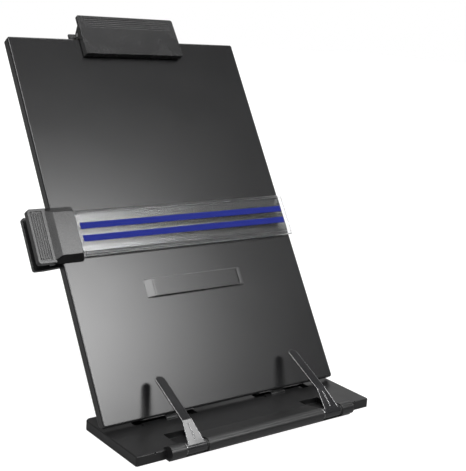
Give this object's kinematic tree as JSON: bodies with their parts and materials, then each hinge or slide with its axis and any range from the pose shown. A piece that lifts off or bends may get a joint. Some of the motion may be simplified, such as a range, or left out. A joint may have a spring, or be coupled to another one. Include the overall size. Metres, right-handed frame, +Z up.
{
  "type": "copy holder with line guide",
  "caption": "Leaning steel back plate on a desk stand with a rear wire strut, a top clip, two page arms on a front rod and a clear ruler on a sliding edge clamp.",
  "frame": {"origin": "desk level, on the stand's middle plane, under the bottom front edge of the back plate at its stored lean", "axes": "+X to the reader's right, +Y away from the reader, +Z up"},
  "size_m": [0.2396, 0.239, 0.2909],
  "materials": {
    "stand_plastic": "satin moulded",
    "rail_plastic": "smooth moulded",
    "plate_paint": "satin black paint",
    "clip_plastic": "smooth moulded",
    "guide_plastic": "smooth moulded",
    "arm_steel": "gloss black paint",
    "pin_steel": "drawn",
    "strut_steel": "zinc plated",
    "spring_steel": "drawn",
    "clear_plastic": "polished clear",
    "stripe_ink": "printed",
    "foot_rubber": "matt"
  },
  "bodies": {
    "base": {"base_body": "stand_plastic", "front_rail": "rail_plastic", "nose_cap_left": "rail_plastic", "nose_cap_right": "rail_plastic", "rail_screws": "pin_steel", "rubber_feet": "foot_rubber", "hinge_pins": "pin_steel", "arm_rod": "pin_steel", "arm_washers": "rail_plastic"},
    "plate": {"back_plate": "plate_paint", "strut_saddles": "plate_paint", "clip_housing": "clip_plastic", "clip_rivets": "pin_steel", "clip_pin": "pin_steel", "clip_spring": "spring_steel"},
    "strut": {"strut_wire": "strut_steel"},
    "clip": {"clip_lever": "clip_plastic", "clip_pad": "foot_rubber"},
    "guide": {"guide_front_jaw": "guide_plastic", "guide_pin": "pin_steel", "guide_spring": "spring_steel", "line_ruler": "clear_plastic", "ruler_stripes": "stripe_ink", "ruler_screws": "pin_steel"},
    "guide_jaw": {"guide_rear_jaw": "guide_plastic"},
    "arm_left": {"page_arm_left": "arm_steel"},
    "arm_right": {"page_arm_right": "arm_steel"}
  },
  "joints": [
    {"name": "plate_tilt", "type": "hinge", "parent": "base", "child": "plate", "pos_m": [0, 0.0047, 0.011], "axis": [1, 0, 0], "range_deg": [-57.2, 12.8]},
    {"name": "strut_fold", "type": "hinge", "parent": "plate", "child": "strut", "pos_m": [0, 0.04503, 0.07542], "axis": [1, 0, 0], "range_deg": [-26.5, 116.5]},
    {"name": "clip_open", "type": "hinge", "parent": "plate", "child": "clip", "pos_m": [0, 0.17163, 0.27519], "axis": [-1, 0, 0], "range_deg": [0, 15], "stiffness_Nm_per_rad": 0.08, "springref_deg": -28.65},
    {"name": "guide_slide", "type": "slide", "parent": "plate", "child": "guide", "axis": [0, 0.5417, 0.8406], "range_m": [-0.07, 0.115]},
    {"name": "guide_release", "type": "hinge", "parent": "guide", "child": "guide_jaw", "pos_m": [-0.1152, 0.08157, 0.12992], "axis": [0, 0.5417, 0.8406], "range_deg": [0, 18], "stiffness_Nm_per_rad": 0.05, "springref_deg": -28.65},
    {"name": "arm_left_swing", "type": "hinge", "parent": "base", "child": "arm_left", "pos_m": [-0.0636, -0.0466, 0.0063], "axis": [1, 0, 0], "range_deg": [-2.5, 95]},
    {"name": "arm_right_swing", "type": "hinge", "parent": "base", "child": "arm_right", "pos_m": [0.0636, -0.0466, 0.0063], "axis": [1, 0, 0], "range_deg": [-2.5, 95]}
  ],
  "couplings": [
    {"joint": "strut_fold", "follows": "plate_tilt", "ratio": -2.03}
  ]
}
